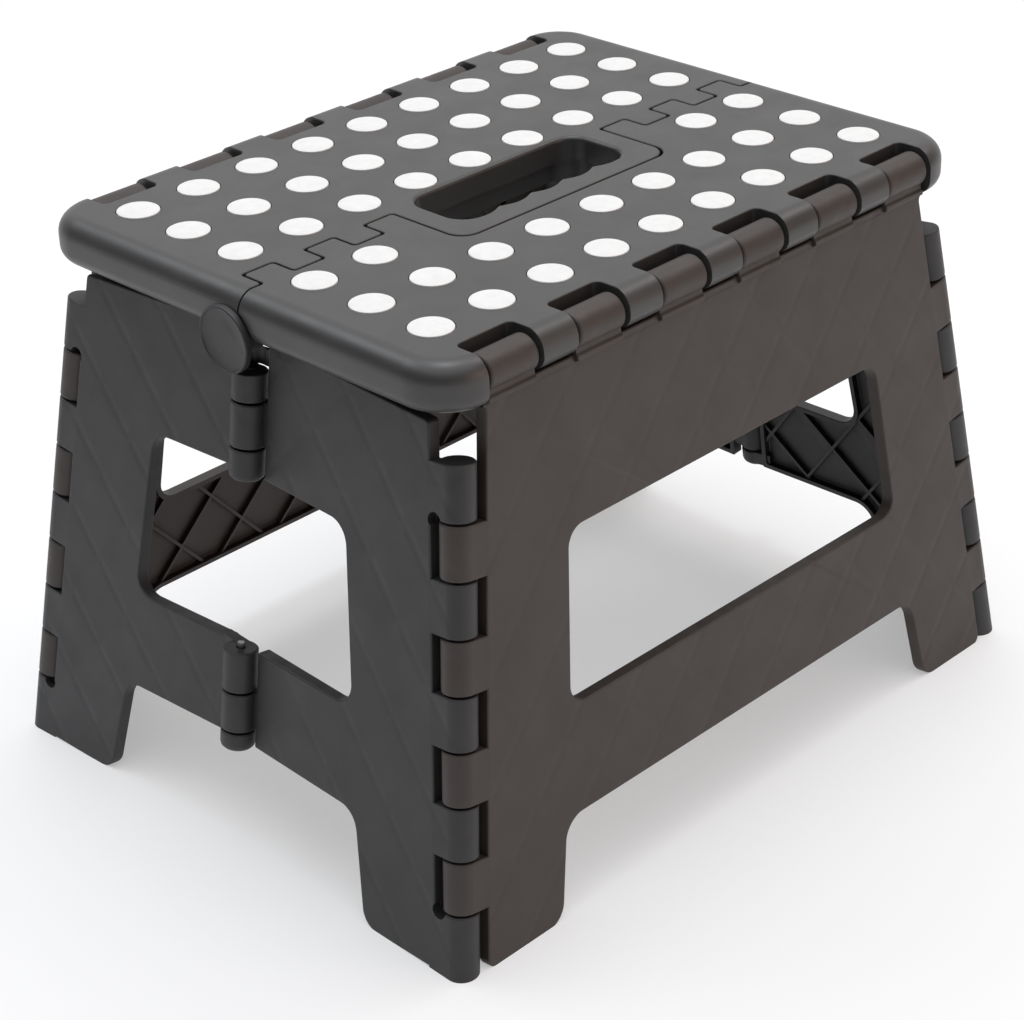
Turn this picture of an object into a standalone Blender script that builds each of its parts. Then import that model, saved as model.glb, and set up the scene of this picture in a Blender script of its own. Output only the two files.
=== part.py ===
"""Folding step stool, open and ready to stand on, in metres with +Z up.

The origin is on the floor under the middle of the deck. +X runs along the fold line of the deck, the back
half of the stool is at +Y and the front half at -Y. The deck folds upwards along its middle, the side panels
swing under the long edges of the deck, and each end is a pair of panels that folds inwards between them.
"""

import math

import bmesh
import bpy
from mathutils import Matrix, Vector

# Deck
HEIGHT = 0.220
DECK_HALF_LENGTH = 0.138
DECK_HALF_WIDTH = 0.106
DECK_CORNER = 0.020
LIP_DEPTH = 0.0181
LIP_TOP_ROUND = 0.007
LIP_LOW_ROUND = 0.0055
SKIN = 0.003
RIB = 0.0022
FOLD_HEIGHT = HEIGHT - 0.0184  # the fold axis runs just under the two halves, which then close flat
SEAM_GAP = 0.0008
FINGER_BACK = 0.0045  # how far the front half's fingers reach past the fold axis
FINGER_FRONT = -0.0065  # and the back half's fingers
FINGER_WIDTH = 0.0142
FINGERS = 5
FINGER_ROUND = 0.0016

# Handle: a tongue of the back half with a slot for the hand
TONGUE_HALF_WIDTH = 0.055
TONGUE_END = -0.0315
TONGUE_ROUND = 0.008
SLOT_HALF_LENGTH = 0.044
SLOT_BACK = 0.0095
SLOT_FRONT = -0.0188
SLOT_ROUND = 0.009
SCALLOP_PITCH = 0.0166
SCALLOP_DEPTH = 0.0024
SCALLOP_FACETS = 24

# Grip dots
DOT_RADIUS = 0.008
DOT_PITCH = 0.0283
DOT_COLUMNS = 4  # on each side of the middle column
ROW_BACK = 0.020
ROW_FRONT = -0.0185
DOT_PROUD = 0.0004
RUNNER_HALF_WIDTH = 0.0025
RUNNER_DEPTH = 0.0015

# Joints between the deck and the side panels
HINGE_Y = 0.099
HINGE_Z = HEIGHT - 0.008
HINGE_BARREL = 0.0067
HINGE_PITCH = 0.042
HINGE_WIDTH = 0.0225
HINGE_SIDE_GAP = 0.0015
NOTCH_WALL = HINGE_Y - HINGE_BARREL - 0.0018

# Panels
TILT = math.radians(6.0)  # of the side panels
SPLAY = math.radians(8.2)  # of the corner axes in the plane of a side panel
BOW = math.radians(2.2)  # of each end panel, inwards at the middle of the end
CORNER_X = 0.1216  # corner axis at the height of the side hinge
CORNER_INSET = 0.0039  # corner axes, inside the plane of the side hinge
BARREL = 0.0063  # radius of the corner knuckles, and how far the outer faces lie outside the corner axes
PANEL_DEPTH = 0.005
PANEL_INNER = BARREL - PANEL_DEPTH
WEB_INSET = 0.0003  # the webs of the knuckles lie a little inside both faces of the panels
WEB_INNER = PANEL_INNER + WEB_INSET
WEB_OUTER = BARREL - WEB_INSET
SIDE_TOP = 0.0107  # below the hinge axis
END_TOP = 0.198
BELOW_FLOOR = -0.0008
SIDE_LEVELS = (0.1445, 0.0795, 0.0375)  # window top, window sill and underside of the lower rail
END_LEVELS = (0.1467, 0.0802, 0.0415)
SIDE_WINDOW = (0.0847, 0.0924)  # half widths at the top and the sill of the window
SIDE_FEET = (0.100, 0.1072)  # half widths of the gap between the feet, at the rail and on the floor
END_WINDOW = (0.0513, 0.0596)
END_FEET = (0.0638, 0.0722)
SIDE_SETBACK = 0.0085  # panel edge to corner axis
END_SETBACK = 0.0070

# Corner knuckles, in bands that belong in turn to the side panel and to the end panel
BAND_LOW = 0.0236
BAND = 0.020
TOP_KNUCKLE = 0.0206
SIDE_KNUCKLES = 4
KNUCKLE_GAP = 0.0008

# Middle hinge of each end, proud of the outer faces
MIDDLE_OFFSET = 0.0078  # of its axis, outside the corner axes
MIDDLE_BARREL = 0.0065
MIDDLE_SETBACK = 0.0095
MIDDLE_WEB_INNER = 0.0024
MIDDLE_BANDS = ((0.1442, 0.1568, 0.1740, 0.1852), (0.0400, 0.048, 0.064, 0.0808))
MIDDLE_BORE = 0.0053  # wide, because the two panels part a little while they fold

# Deck fold pivots at the two ends
BOSS_RADIUS = 0.0125
BOSS_OUT = 0.1405
BOSS_IN = 0.1300
EAR_RADIUS = 0.007
EAR_IN = 0.1215

# Pins
PIN = 0.0015
BORE = 0.0018
BESIDE_BORE = 0.0026  # webs start this far from the axis, inside the barrel and clear of its bore
MIDDLE_PIN = 0.0013
PIN_STUB = 0.0016

# Facets
ARC_FACET = 0.0035  # length of an outline arc's facets, of which it has at least two
BARREL_FACETS = 16
BORE_FACETS = 8
BOSS_FACETS = 28
DOT_FACETS = 12

PLASTIC = ((0.060, 0.058, 0.056), 0.55, 0.0)
RUBBER = ((0.86, 0.86, 0.85), 0.60, 0.0)
STEEL = ((0.42, 0.42, 0.43), 0.35, 1.0)
LOOKS = {"plastic": PLASTIC, "grip": RUBBER, "pin": STEEL}

LEFT, RIGHT = -1, 1
FRONT, BACK = -1, 1
END_NAMES = {LEFT: "left", RIGHT: "right"}
SIDE_NAMES = {FRONT: "front", BACK: "back"}


def clear_scene():
    for thing in list(bpy.data.objects):
        bpy.data.objects.remove(thing)


def new_collection(name):
    made = bpy.data.collections.new(name)
    bpy.context.scene.collection.children.link(made)
    return made


# ---------------------------------------------------------------- outlines

def rounded(corners):
    """The outline through (x, y, radius) corners, with each corner turned into an arc."""
    outline = []
    count = len(corners)
    for i, (x, y, radius) in enumerate(corners):
        corner = Vector((x, y))
        if radius <= 0:
            outline.append(corner)
            continue
        before = (Vector(corners[i - 1][:2]) - corner).normalized()
        after = (Vector(corners[(i + 1) % count][:2]) - corner).normalized()
        half = before.angle(after) / 2
        centre = corner + (before + after).normalized() * radius / math.sin(half)
        start = corner + before * radius / math.tan(half) - centre
        finish = corner + after * radius / math.tan(half) - centre
        sweep = start.angle_signed(finish)
        steps = max(2, round(abs(sweep) * radius / ARC_FACET))
        for step in range(steps + 1):
            turn = Matrix.Rotation(-sweep * step / steps, 2)
            outline.append(centre + turn @ start)
    return outline


def shifted_path(path, distance):
    """An open path of right-angled corners, moved sideways to its left."""
    moved = []
    for i, point in enumerate(path):
        ahead = Vector(path[min(i + 1, len(path) - 1)]) - Vector(path[min(i, len(path) - 2)])
        behind = Vector(path[max(i, 1)]) - Vector(path[max(i - 1, 0)])
        normals = [Vector((-d.y, d.x)).normalized() for d in (behind, ahead)]
        middle = normals[0] + normals[1]
        moved.append(Vector(point) + middle * distance / (1 + normals[0].dot(normals[1])))
    return moved


def seam_path():
    """The seam between the deck halves, from left to right: fingers, round the tongue, fingers."""
    right = [(TONGUE_HALF_WIDTH, TONGUE_END), (TONGUE_HALF_WIDTH, FINGER_BACK)]
    for finger in range(1, FINGERS + 1):
        x = TONGUE_HALF_WIDTH + finger * FINGER_WIDTH
        levels = (FINGER_BACK, FINGER_FRONT) if finger % 2 else (FINGER_FRONT, FINGER_BACK)
        right += [(x, level) for level in levels]
    right.append((2 * DECK_HALF_LENGTH, FINGER_FRONT))
    left = [(-x, y) for x, y in reversed(right)]
    return left + right


def deck_region(side):
    """Plan outline of everything on one side of the seam."""
    path = shifted_path(seam_path(), side * SEAM_GAP / 2)
    radii = [TONGUE_ROUND if abs(y - TONGUE_END) < SEAM_GAP else FINGER_ROUND for _, y in path]
    radii[0] = radii[-1] = 0
    far = side * 2 * DECK_HALF_WIDTH
    outer = [(path[-1].x, far, 0), (path[0].x, far, 0)]
    return rounded([(p.x, p.y, radius) for p, radius in zip(path, radii)] + outer)


def slot_outline():
    """Hand slot with finger scallops along its front edge."""
    straight = SLOT_HALF_LENGTH - SLOT_ROUND
    outline = []
    for i in range(SCALLOP_FACETS + 1):
        x = -straight + 2 * straight * i / SCALLOP_FACETS
        scallop = SCALLOP_DEPTH * abs(math.cos(math.pi * x / SCALLOP_PITCH))
        outline.append(Vector((x, SLOT_FRONT - scallop)))
    low = outline[0].y
    ends = rounded([
        (SLOT_HALF_LENGTH, low, SLOT_ROUND), (SLOT_HALF_LENGTH, SLOT_BACK, SLOT_ROUND),
        (-SLOT_HALF_LENGTH, SLOT_BACK, SLOT_ROUND), (-SLOT_HALF_LENGTH, low, SLOT_ROUND),
    ])
    return outline + ends[1:-1]


# ---------------------------------------------------------------- solids

def new_object(name, mesh):
    made = bpy.data.objects.new(name, mesh)
    bpy.context.scene.collection.objects.link(made)
    return made


def from_bmesh(name, bm):
    bmesh.ops.recalc_face_normals(bm, faces=bm.faces)
    mesh = bpy.data.meshes.new(name)
    bm.to_mesh(mesh)
    bm.free()
    return new_object(name, mesh)


def prism(name, outlines, low, high):
    """A flat plate from its outline and the outlines of its holes, between two local heights."""
    curve = bpy.data.curves.new(name, "CURVE")
    curve.dimensions = "2D"
    curve.fill_mode = "BOTH"
    curve.extrude = (high - low) / 2
    for outline in outlines:
        spline = curve.splines.new("POLY")
        spline.points.add(len(outline) - 1)
        spline.use_cyclic_u = True
        for point, (x, y) in zip(spline.points, outline):
            point.co = (x, y, 0, 1)
    guide = new_object(name, curve)
    graph = bpy.context.evaluated_depsgraph_get()
    mesh = bpy.data.meshes.new_from_object(guide.evaluated_get(graph))
    bpy.data.objects.remove(guide)
    bm = bmesh.new()
    bm.from_mesh(mesh)
    bpy.data.meshes.remove(mesh)
    bmesh.ops.remove_doubles(bm, verts=bm.verts, dist=1e-6)
    bmesh.ops.dissolve_limit(bm, angle_limit=math.radians(0.5), verts=bm.verts, edges=bm.edges)
    bmesh.ops.translate(bm, verts=bm.verts, vec=(0, 0, (low + high) / 2))
    return from_bmesh(name, bm)


def boxes(name, spans):
    """One object that holds a box for each (low corner, high corner)."""
    bm = bmesh.new()
    for low, high in spans:
        low, high = Vector(low), Vector(high)
        size = Matrix.Diagonal((*(high - low), 1))
        bmesh.ops.create_cube(bm, size=1, matrix=Matrix.Translation((low + high) / 2) @ size)
    return from_bmesh(name, bm)


def rods(name, runs, radius, facets):
    """One object that holds a cylinder for each (start, end)."""
    bm = bmesh.new()
    for start, end in runs:
        start, end = Vector(start), Vector(end)
        turn = (end - start).to_track_quat("Z", "Y").to_matrix().to_4x4()
        bmesh.ops.create_cone(
            bm, cap_ends=True, segments=facets, radius1=radius, radius2=radius,
            depth=(end - start).length, matrix=Matrix.Translation((start + end) / 2) @ turn)
    return from_bmesh(name, bm)


def combine(target, operation, tools):
    """Applies a Boolean with each tool in turn and removes the tools."""
    for tool in tools:
        modifier = target.modifiers.new(tool.name, "BOOLEAN")
        modifier.operation = operation
        modifier.object = tool
        modifier.solver = "EXACT"
    graph = bpy.context.evaluated_depsgraph_get()
    mesh = bpy.data.meshes.new_from_object(target.evaluated_get(graph))
    target.modifiers.clear()
    target.data = mesh
    for tool in tools:
        bpy.data.objects.remove(tool)
    return target


def finish(thing, name, look, collection, place=None):
    """Names, shades, colours and places a finished piece."""
    bpy.context.scene.collection.objects.unlink(thing)
    collection.objects.link(thing)
    thing.name = name
    thing.data.name = name
    if place is not None:
        thing.matrix_world = place
    colour, roughness, metallic = LOOKS[look]
    material = bpy.data.materials.new(name + "_" + look)
    material.use_nodes = True
    shader = material.node_tree.nodes["Principled BSDF"]
    shader.inputs["Base Color"].default_value = (*colour, 1)
    shader.inputs["Roughness"].default_value = roughness
    shader.inputs["Metallic"].default_value = metallic
    thing.data.materials.clear()
    thing.data.materials.append(material)
    thing.data.shade_smooth()
    thing.data.set_sharp_from_angle(angle=math.radians(35))


# ---------------------------------------------------------------- frames of the panels

def make_frame(origin, right, up):
    """Local X and Y lie in the panel, local Z points out of it."""
    axes = Matrix((right, up, right.cross(up))).transposed().to_4x4()
    return Matrix.Translation(origin) @ axes


def side_frame(side):
    """Its X axis is the hinge axis under the long edge of the deck."""
    up = Vector((0, -side * math.sin(TILT), math.cos(TILT)))
    return make_frame(Vector((0, side * HINGE_Y, HINGE_Z)), Vector((-side, 0, 0)), up)


def plane_frame(side):
    """The same, with its origin in the plane of the corner axes."""
    return side_frame(side) @ Matrix.Translation((0, 0, -CORNER_INSET))


def mirror_of(end, side):
    """+1 where local X of an end panel points to the middle of the end, -1 where it points away."""
    return -end * side


def end_frame(end, side):
    """Its Y axis is the corner axis, and its plane is bowed inwards towards the middle of the end."""
    up = side_frame(side).col[1].xyz * math.cos(SPLAY) + Vector((-end * math.sin(SPLAY), 0, 0))
    inward = Vector((0, -side, 0))
    inward = (inward - inward.dot(up) * up).normalized()
    out = inward.cross(up) * mirror_of(end, side)
    inward = inward * math.cos(BOW) - out * math.sin(BOW)
    origin = plane_frame(side) @ Vector((-side * end * CORNER_X, 0, 0))
    return make_frame(origin, inward * mirror_of(end, side), up)


def on_plane(frame, depth, axis, value, height):
    """Local X and Y of the point at this depth, this height and this world X (axis 0) or Y (axis 1)."""
    origin = frame @ Vector((0, 0, depth))
    right, up = frame.col[0], frame.col[1]
    sideways = value - origin[axis]
    rise = height - origin.z
    scale = right[axis] * up.z - up[axis] * right.z
    return Vector(((sideways * up.z - up[axis] * rise) / scale, (right[axis] * rise - sideways * right.z) / scale))


def along_corner(height):
    """Distance along a corner axis, from its own origin."""
    return (height - plane_frame(BACK).translation.z) / (math.cos(TILT) * math.cos(SPLAY))


def floor_cutter(frame):
    """A block under the floor, in a panel's local frame."""
    block = boxes("floor", [((-1, -1, -1), (1, 1, 0))])
    block.data.transform(frame.inverted())
    return block


def knuckle_bands(owner):
    """Height ranges of the corner knuckles of the side panel or the end panel."""
    if owner == "side":
        starts = [BAND_LOW + 2 * i * BAND for i in range(SIDE_KNUCKLES)]
        return [(z, z + BAND) for z in starts]
    bands = [(BAND_LOW + (2 * i - 1) * BAND, BAND_LOW + 2 * i * BAND) for i in range(1, SIDE_KNUCKLES)]
    top = BAND_LOW + (2 * SIDE_KNUCKLES - 1) * BAND
    return [(-BAND, BAND_LOW)] + bands + [(top, top + TOP_KNUCKLE)]


def corner_knuckles(owner, base, direction, inboard, reach):
    """Barrels on a corner axis with the webs that carry them, as a list of tools for a union."""
    tools = []
    for low, high in knuckle_bands(owner):
        start = along_corner(low) + KNUCKLE_GAP / 2
        stop = along_corner(high) - KNUCKLE_GAP / 2
        ends = [base + direction * s for s in (start, stop)]
        tools.append(rods("barrel", [[(*p, 0) for p in ends]], BARREL, BARREL_FACETS))
        shorter = [base + direction * s for s in (start + WEB_INSET, stop - WEB_INSET)]
        web = [p + inboard * away for away in (BESIDE_BORE, reach) for p in shorter]
        tools.append(web_plate(web, WEB_INNER))
    return tools


def web_plate(points, inner):
    """The web through two near and two far points, up to just under the outer face."""
    near_low, near_high, far_low, far_high = points
    return prism("web", [[near_low, near_high, far_high, far_low]], inner, WEB_OUTER)


# ---------------------------------------------------------------- side panels

def side_outlines(frame):
    """The panel's outline and its window, in local X and Y on the outer face."""
    def both(x, z, radius):
        halves = [on_plane(frame, BARREL, 0, sign * x, z) for sign in (-1, 1)]
        return [(p.x, p.y, radius) for p in sorted(halves, key=lambda p: p.x)]

    edge = CORNER_X - SIDE_SETBACK
    foot = math.tan(SPLAY)
    low = on_plane(frame, BARREL, 0, 0, BELOW_FLOOR).y
    top = -SIDE_TOP
    outer = [(edge - y * foot, y) for y in (low, top)]
    rail = both(SIDE_FEET[0], SIDE_LEVELS[2], 0.010)
    toes = both(SIDE_FEET[1], BELOW_FLOOR, 0.009)
    outline = [
        (-outer[1][0], top, 0.002), (outer[1][0], top, 0.002), (outer[0][0], low, 0.004),
        toes[1], rail[1], rail[0], toes[0], (-outer[0][0], low, 0.004),
    ]
    head = both(SIDE_WINDOW[0], SIDE_LEVELS[0], 0.008)
    sill = both(SIDE_WINDOW[1], SIDE_LEVELS[1], 0.007)
    return rounded(outline), rounded([head[0], head[1], sill[1], sill[0]])


def hinge_centres():
    """Middle of each side hinge knuckle along X."""
    return [(i - 2.5) * HINGE_PITCH for i in range(6)]


def side_panel(side, collection):
    frame = plane_frame(side)
    panel = prism("side", side_outlines(frame), PANEL_INNER, BARREL)
    half = HINGE_WIDTH / 2
    spans = [(x - half, x + half) for x in hinge_centres()]
    runs = [((a, 0, CORNER_INSET), (b, 0, CORNER_INSET)) for a, b in spans]
    necks = [((a, -2 * SIDE_TOP, WEB_INNER), (b, -BESIDE_BORE, WEB_OUTER)) for a, b in spans]
    tools = [rods("barrels", runs, HINGE_BARREL, BARREL_FACETS), boxes("necks", necks)]
    far = 2 * DECK_HALF_LENGTH
    bores = [rods("bore", [((-far, 0, CORNER_INSET), (far, 0, CORNER_INSET))], BORE, BORE_FACETS)]
    for end in (LEFT, RIGHT):
        base = Vector((end * CORNER_X, 0))
        direction = Vector((-end * math.sin(SPLAY), math.cos(SPLAY)))
        inboard = Vector((-end * math.cos(SPLAY), -math.sin(SPLAY)))
        tools += corner_knuckles("side", base, direction, inboard, 2 * SIDE_SETBACK)
        line = [(*(base + direction * s), 0) for s in pin_span(BORE)]
        bores.append(rods("bore", [line], BORE, BORE_FACETS))
    combine(panel, "UNION", tools)
    combine(panel, "DIFFERENCE", bores + [floor_cutter(frame)])
    panel.data.transform(Matrix.Translation((0, 0, -CORNER_INSET)))
    finish(panel, "side_panel_" + SIDE_NAMES[side], "plastic", collection, side_frame(side))


def pin_span(radius):
    """Start and end of the corner pin, or of the slightly longer bore, along the corner axis."""
    slack = 10 * (radius - PIN)
    low, high = BAND_LOW - 0.3 * BAND, BAND_LOW + 7 * BAND + 0.8 * TOP_KNUCKLE
    return along_corner(low) - slack / 3, along_corner(high) + slack / 3


# ---------------------------------------------------------------- end panels

def end_outline(frame, mirror):
    """The C shape of one end panel: leg, upper rail and lower rail, open towards the middle of the end."""
    side = BACK if frame.translation.y > 0 else FRONT
    head, sill, rail = END_LEVELS

    def point(y, z, radius):
        local = on_plane(frame, BARREL, 1, side * y, z)
        return (local.x, local.y, radius)

    def middle(z, radius):
        local = on_plane(frame, MIDDLE_OFFSET, 1, 0, z)
        return (local.x - mirror * MIDDLE_SETBACK, local.y, radius)

    def corner(z, radius):
        local = on_plane(frame, BARREL, 1, side * HINGE_Y, z)
        return (mirror * END_SETBACK, local.y, radius)

    return rounded([
        corner(END_TOP, 0.002), middle(END_TOP, 0.002), middle(head, 0.001),
        point(END_WINDOW[0], head, 0.009), point(END_WINDOW[1], sill, 0.008),
        middle(sill, 0.001), middle(rail, 0.001),
        point(END_FEET[0], rail, 0.009), point(END_FEET[1], BELOW_FLOOR, 0.008),
        corner(BELOW_FLOOR, 0),
    ])


def middle_knuckles(frame, mirror, chosen):
    """Barrels on the middle axis of an end, with webs, for the chosen bands of each hinge."""
    tools = []
    for levels in MIDDLE_BANDS:
        for i in chosen:
            low = levels[i] + KNUCKLE_GAP / 2
            high = levels[i + 1] - KNUCKLE_GAP / 2
            ends = [on_plane(frame, MIDDLE_OFFSET, 1, 0, z) for z in (low, high)]
            tools.append(rods("barrel", [[(*p, MIDDLE_OFFSET) for p in ends]], MIDDLE_BARREL, BARREL_FACETS))
            away = (-mirror * BESIDE_BORE, -mirror * 1.5 * MIDDLE_SETBACK)
            web = [p + Vector((x, 0)) for x in away for p in ends]
            tools.append(web_plate(web, MIDDLE_WEB_INNER))
    return tools


def middle_line(frame, low, high):
    ends = [on_plane(frame, MIDDLE_OFFSET, 1, 0, z) for z in (low, high)]
    return [(*p, MIDDLE_OFFSET) for p in ends]


def holds_pins(end, side):
    """The two panels of an end are different mouldings, and the stool looks the same turned half round."""
    return mirror_of(end, side) > 0


def end_panel(end, side, collection):
    frame = end_frame(end, side)
    mirror = mirror_of(end, side)
    panel = prism("end", [end_outline(frame, mirror)], PANEL_INNER, BARREL)
    base = Vector((0, 0))
    tools = corner_knuckles("end", base, Vector((0, 1)), Vector((mirror, 0)), 1.5 * END_SETBACK)
    chosen = (0, 2) if holds_pins(end, side) else (1,)
    combine(panel, "UNION", tools + middle_knuckles(frame, mirror, chosen))
    cutters = [rods("bore", [[(0, s, 0) for s in pin_span(BORE)]], BORE, BORE_FACETS), floor_cutter(frame)]
    for levels in MIDDLE_BANDS:
        low, high, radius = levels[0] + PIN_STUB, levels[3] + BAND, BORE
        if not holds_pins(end, side):
            low, radius = levels[0], MIDDLE_BORE
        cutters.append(rods("bore", [middle_line(frame, low, high)], radius, BORE_FACETS))
    cutters.append(staking_pockets(mirror))
    combine(panel, "DIFFERENCE", cutters)
    name = "end_panel_" + END_NAMES[end] + "_" + SIDE_NAMES[side]
    finish(panel, name, "plastic", collection, frame)


def staking_pockets(mirror):
    """Round pockets in the outer face beside the two ends of the corner pin."""
    low, high = knuckle_bands("end")[0][1], knuckle_bands("end")[-1][0]
    runs = []
    for height in (low, high):
        x, y = mirror * 0.0048, along_corner(height)
        runs.append(((x, y, 0.0030), (x, y, 2 * BARREL)))
    return rods("pockets", runs, 0.0032, BORE_FACETS)


# ---------------------------------------------------------------- deck

def deck_slab():
    """The whole deck with its rounded lip, before it is parted along the seam."""
    x, y, radius = DECK_HALF_LENGTH, DECK_HALF_WIDTH, DECK_CORNER
    plan = rounded([(-x, -y, radius), (x, -y, radius), (x, y, radius), (-x, y, radius)])
    slab = prism("slab", [plan], HEIGHT - LIP_DEPTH, HEIGHT)
    bm = bmesh.new()
    bm.from_mesh(slab.data)
    for level, radius, steps in ((HEIGHT, LIP_TOP_ROUND, 4), (HEIGHT - LIP_DEPTH, LIP_LOW_ROUND, 3)):
        rim = [e for e in bm.edges if all(abs(v.co.z - level) < 1e-5 for v in e.verts)]
        bmesh.ops.bevel(bm, geom=rim, offset=radius, segments=steps, profile=0.5, affect="EDGES")
    bm.to_mesh(slab.data)
    bm.free()
    return slab


def pocket_spans(side):
    """Hollows between the ribs under the deck."""
    top, low = HEIGHT - SKIN, FOLD_HEIGHT - BARREL
    first = side * ROW_BACK if side == BACK else ROW_FRONT
    rows = [(first + side * (i - 0.5) * DOT_PITCH, first + side * (i + 0.5) * DOT_PITCH) for i in range(3)]
    inner_edge = 0.0122 if side == BACK else -0.0110
    rows[0] = (inner_edge, rows[0][1])
    rows[2] = (rows[2][0], side * (NOTCH_WALL - SKIN))
    spans = []
    for row, (start, stop) in enumerate(rows):
        y = sorted((start + side * RIB / 2, stop - side * RIB / 2))
        for column in range(-DOT_COLUMNS, DOT_COLUMNS + 1):
            x = [(column - 0.5) * DOT_PITCH + RIB / 2, (column + 0.5) * DOT_PITCH - RIB / 2]
            if side == FRONT and row == 0:
                x = beside_tongue(x)
            if x:
                spans.append(((x[0], y[0], low), (x[1], y[1], top)))
    return spans


def beside_tongue(span):
    """The part of an X range that is clear of the tongue's opening in the front half."""
    wall = TONGUE_HALF_WIDTH + 1.5 * SKIN
    low, high = sorted(span, key=abs)
    if abs(high) < wall + SKIN:
        return None
    return sorted((math.copysign(max(abs(low), wall), high), high))


def dot_rows(side):
    """(name, y, columns) of each strip of grip dots on one half."""
    every = list(range(-DOT_COLUMNS, DOT_COLUMNS + 1))
    if side == BACK:
        names = ("inner", "middle", "outer")
        return [("grip_dots_back_" + n, ROW_BACK + i * DOT_PITCH, every) for i, n in enumerate(names)]
    pairs = [("inner_left", [-4, -3]), ("inner_right", [3, 4])]
    rows = [("grip_dots_front_" + n, ROW_FRONT, columns) for n, columns in pairs]
    names = ("middle", "outer")
    return rows + [("grip_dots_front_" + n, ROW_FRONT - (i + 1) * DOT_PITCH, every) for i, n in enumerate(names)]


def dot_tools(rows, margin):
    """Dots and the runners that join them under the skin, or with a margin the holes for them."""
    low = HEIGHT - SKIN - 0.0003 - RUNNER_DEPTH - margin
    top = HEIGHT + DOT_PROUD + margin
    dots, runners = [], []
    for _, y, columns in rows:
        dots += [((c * DOT_PITCH, y, low), (c * DOT_PITCH, y, top)) for c in columns]
        half = RUNNER_HALF_WIDTH + margin
        ends = (columns[0] * DOT_PITCH, columns[-1] * DOT_PITCH)
        runners.append(((ends[0], y - half, low), (ends[1], y + half, low + RUNNER_DEPTH + 2 * margin)))
    return rods("dots", dots, DOT_RADIUS + margin, DOT_FACETS), boxes("runners", runners)


def deck_notches(side):
    """Room for the side panel's hinge knuckles along the long edge."""
    half = HINGE_WIDTH / 2 + HINGE_SIDE_GAP
    y = sorted((side * NOTCH_WALL, side * 2 * DECK_HALF_WIDTH))
    return [((x - half, y[0], 0.9 * FOLD_HEIGHT), (x + half, y[1], 2 * HEIGHT)) for x in hinge_centres()]


def fold_rods(name, near, far, radius, facets):
    """A cylinder on the fold axis at each end, between two distances from the middle."""
    runs = [((end * near, 0, FOLD_HEIGHT), (end * far, 0, FOLD_HEIGHT)) for end in (LEFT, RIGHT)]
    return rods(name, runs, radius, facets)


def deck_half(side, collection):
    half = deck_slab()
    reach = DECK_HALF_LENGTH * 2
    region = prism("region", [deck_region(side)], 0.5 * HEIGHT, 1.5 * HEIGHT)
    combine(half, "INTERSECT", [region])
    cutters = [boxes("pockets", pocket_spans(side)), boxes("notches", deck_notches(side))]
    cutters += dot_tools(dot_rows(side), 0.0003)
    if side == BACK:
        cutters.append(prism("slot", [slot_outline()], 0.5 * HEIGHT, 1.5 * HEIGHT))
        cutters.append(fold_rods("ears", EAR_IN - 0.0005, BOSS_IN + 0.001, EAR_RADIUS + 0.0005, BARREL_FACETS))
        joined = [fold_rods("boss", BOSS_IN, BOSS_OUT, BOSS_RADIUS, BOSS_FACETS)]
    else:
        cutters.append(fold_rods("bosses", BOSS_IN - 0.0004, reach, BOSS_RADIUS + 0.0007, BOSS_FACETS))
        joined = [fold_rods("ears", EAR_IN, BOSS_IN - 0.0006, EAR_RADIUS, BARREL_FACETS), ear_webs()]
    combine(half, "DIFFERENCE", cutters)
    combine(half, "UNION", joined)
    pin_line = [(-0.124, side * HINGE_Y, HINGE_Z), (0.124, side * HINGE_Y, HINGE_Z)]
    bores = [
        rods("side bore", [pin_line], BORE, BORE_FACETS),
        fold_rods("fold bore", EAR_IN - 0.001, BOSS_OUT - 0.0025, BORE, BORE_FACETS),
    ]
    combine(half, "DIFFERENCE", bores)
    place_on_axis(half, Vector((0, 0, FOLD_HEIGHT)))
    finish(half, "deck_half_" + SIDE_NAMES[side], "plastic", collection, Matrix.Translation((0, 0, FOLD_HEIGHT)))


def ear_webs():
    """Walls that hang the front half's ears from its outermost fingers."""
    far = TONGUE_HALF_WIDTH + FINGERS * FINGER_WIDTH - SEAM_GAP
    spans = []
    for end in (LEFT, RIGHT):
        x = sorted((end * EAR_IN, end * far))
        spans.append(((x[0], -0.0125, FOLD_HEIGHT), (x[1], -0.0015, HEIGHT - SKIN / 2)))
    return boxes("ear webs", spans)


def place_on_axis(thing, origin):
    """Moves the mesh so that the object's own origin lies on its joint axis."""
    thing.data.transform(Matrix.Translation(-origin))


# ---------------------------------------------------------------- grip dots and pins

def grip_dots(side, collection):
    for row in dot_rows(side):
        dots, runner = dot_tools([row], 0)
        combine(runner, "UNION", [dots])
        origin = Vector((0, row[1], HEIGHT))
        place_on_axis(runner, origin)
        finish(runner, row[0], "grip", collection, Matrix.Translation(origin))


def pins(collection):
    for side in (FRONT, BACK):
        rod = rods("pin", [((-0.123, 0, 0), (0.123, 0, 0))], PIN, BORE_FACETS)
        place = Matrix.Translation((0, side * HINGE_Y, HINGE_Z))
        finish(rod, "deck_side_pin_" + SIDE_NAMES[side], "pin", collection, place)
        for end in (LEFT, RIGHT):
            rod = rods("pin", [[(0, s, 0) for s in pin_span(PIN)]], PIN, BORE_FACETS)
            name = "corner_pin_" + END_NAMES[end] + "_" + SIDE_NAMES[side]
            finish(rod, name, "pin", collection, end_frame(end, side))
            if holds_pins(end, side):
                middle_pins(end, side, collection)
    for end in (LEFT, RIGHT):
        span = [(end * (EAR_IN + 0.0005), 0, 0), (end * (BOSS_OUT - 0.0030), 0, 0)]
        rod = rods("pin", [span], PIN, BORE_FACETS)
        finish(rod, "deck_fold_pin_" + END_NAMES[end], "pin", collection, Matrix.Translation((0, 0, FOLD_HEIGHT)))


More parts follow.
